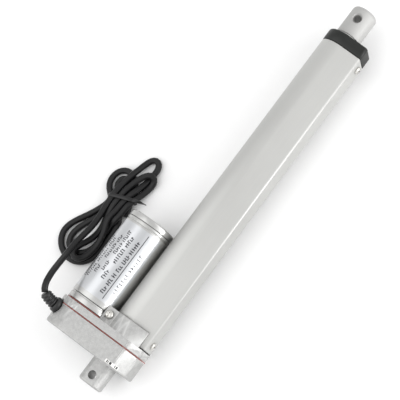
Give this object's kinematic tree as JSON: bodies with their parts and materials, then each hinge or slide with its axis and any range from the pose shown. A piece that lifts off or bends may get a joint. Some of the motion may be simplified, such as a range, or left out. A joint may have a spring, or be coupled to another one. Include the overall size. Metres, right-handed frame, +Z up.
{
  "type": "linear actuator",
  "caption": "Electric linear actuator: geared motor beside an extruded tube, sliding rod with a cross-drilled eye, rear lug and a tied hank of cable.",
  "frame": {"origin": "middle of the body's footprint on the surface it lies on, at that surface's height; the cable, its hank, its tie and its boot are not counted", "axes": "+X along the rod, from the rear lug to the front eye; +Y from the screw's axis to the motor beside it; +Z up, off the surface, the way both cross holes run"},
  "size_m": [0.337, 0.1219, 0.046],
  "materials": {
    "cast_alloy": "rough sand-blasted die cast aluminium, light grey",
    "anodised_tube": "satin silver anodised extrusion with faint draw lines along its length",
    "rod_alloy": "satin turned aluminium",
    "cap_plastic": "black moulded plastic, fine matte texture",
    "switch_plastic": "black switch housing",
    "seal_rubber": "black rubber wiper",
    "cable_rubber": "black soft cable sheath and boot with a dull sheen",
    "tie_plastic": "black plastic coated wire tie",
    "red_gasket": "dark red sheet gasket",
    "screw_steel": "bright zinc plated steel",
    "motor_steel": "nickel plated rolled steel, faint circumferential brushing",
    "dark_steel": "ground and oiled steel",
    "lamination": "stacked laminations, dark varnish",
    "bearing_steel": "polished bearing steel",
    "bronze": "sintered bronze",
    "brass": "cut brass",
    "copper": "enamelled copper windings and turned copper segments",
    "magnet": "dark grey ferrite",
    "carbon": "pressed carbon",
    "nylon": "off-white nylon",
    "board": "green circuit board lacquer"
  },
  "bodies": {
    "housing": {"gearbox_housing": "cast_alloy", "gearbox_cover": "cast_alloy", "outer_tube": "anodised_tube", "front_cap": "cap_plastic", "rear_limit_switch": "switch_plastic", "front_limit_switch": "switch_plastic", "rod_wiper": "seal_rubber", "strain_relief": "cable_rubber", "lead_cord": "cable_rubber", "cord_hank": "cable_rubber", "cord_tie": "tie_plastic", "housing_gasket": "red_gasket", "motor_gasket": "red_gasket", "cap_side_screw": "screw_steel", "tube_side_screw": "screw_steel", "collar_screw": "screw_steel", "gearbox_screw_1": "screw_steel", "gearbox_screw_2": "screw_steel", "gearbox_screw_3": "screw_steel", "gearbox_screw_4": "screw_steel", "motor_screw_1": "screw_steel", "motor_screw_2": "screw_steel", "motor_can": "motor_steel", "motor_front_ring": "motor_steel", "motor_end_bell": "motor_steel", "idler_pin": "dark_steel", "screw_bearing": "bearing_steel", "rod_bush": "bronze", "screw_rear_bush": "bronze", "motor_bush_front": "bronze", "motor_bush_rear": "bronze", "magnet_front": "magnet", "magnet_back": "magnet", "brush_front": "carbon", "brush_back": "carbon", "switch_board": "board"},
    "armature": {"motor_shaft": "dark_steel", "armature_core": "lamination", "winding_front": "copper", "winding_rear": "copper", "commutator": "copper", "motor_pinion": "brass"},
    "idler": {"idler_gear": "nylon"},
    "screw": {"lead_screw": "dark_steel", "screw_gear": "nylon", "retaining_ring": "dark_steel", "stop_washer": "screw_steel"},
    "rod": {"inner_rod": "rod_alloy", "drive_nut": "nylon", "switch_striker": "brass", "front_eye": "rod_alloy", "eye_pin": "dark_steel"}
  },
  "joints": [
    {"name": "motor_spin", "type": "hinge", "parent": "housing", "child": "armature", "pos_m": [-0.0893, 0.01775, 0.0208], "axis": [-1, 0, 0], "range_deg": [0, 259200]},
    {"name": "idler_spin", "type": "hinge", "parent": "housing", "child": "idler", "pos_m": [-0.1413, 0.0017, 0.0221], "axis": [-1, 0, 0], "range_deg": [-74000, 0]},
    {"name": "screw_spin", "type": "hinge", "parent": "housing", "child": "screw", "pos_m": [-0.0113, -0.01625, 0.0208], "axis": [-1, 0, 0], "range_deg": [0, 24600]},
    {"name": "rod_slide", "type": "slide", "parent": "housing", "child": "rod", "axis": [1, 0, 0], "range_m": [0, 0.201]}
  ],
  "couplings": [
    {"joint": "idler_spin", "follows": "motor_spin", "ratio": -0.27778},
    {"joint": "screw_spin", "follows": "motor_spin", "ratio": 0.092593},
    {"joint": "rod_slide", "follows": "motor_spin", "m_per_rad": 0.00004421}
  ]
}
